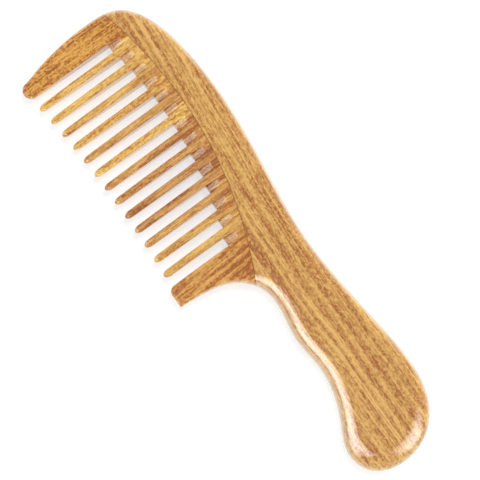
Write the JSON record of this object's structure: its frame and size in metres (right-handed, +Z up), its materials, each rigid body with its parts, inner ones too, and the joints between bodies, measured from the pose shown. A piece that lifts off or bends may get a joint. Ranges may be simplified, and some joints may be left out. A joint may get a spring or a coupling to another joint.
{
  "type": "wide tooth comb",
  "caption": "Wooden wide-tooth comb with a rounded handle: separate tooth staves glued under a one-piece spine and handle board.",
  "frame": {"origin": "middle of the comb's box, on the plane that it lies on", "axes": "+X from the head of the comb to the end of the handle, +Y from the tooth tips to the back of the spine, +Z up out of the upper face"},
  "size_m": [0.2, 0.0598, 0.01],
  "materials": {
    "board_wood": "clear gloss over golden wood with reddish-brown streaks along the comb",
    "light_stave_wood": "clear gloss over light golden wood, grain along the tooth",
    "amber_stave_wood": "clear gloss over amber wood, grain along the tooth",
    "brown_stave_wood": "clear gloss over reddish-brown wood, grain along the tooth"
  },
  "bodies": {
    "root": {"handle_spine": "board_wood", "guard_stave": "amber_stave_wood", "tooth_stave_01": "light_stave_wood", "tooth_stave_02": "light_stave_wood", "tooth_stave_03": "amber_stave_wood", "tooth_stave_04": "light_stave_wood", "tooth_stave_05": "brown_stave_wood", "tooth_stave_06": "light_stave_wood", "tooth_stave_07": "amber_stave_wood", "tooth_stave_08": "amber_stave_wood", "tooth_stave_09": "brown_stave_wood", "tooth_stave_10": "brown_stave_wood", "tooth_stave_11": "amber_stave_wood", "tooth_stave_12": "light_stave_wood", "tooth_stave_13": "light_stave_wood", "heel_stave": "brown_stave_wood"}
  },
  "joints": []
}
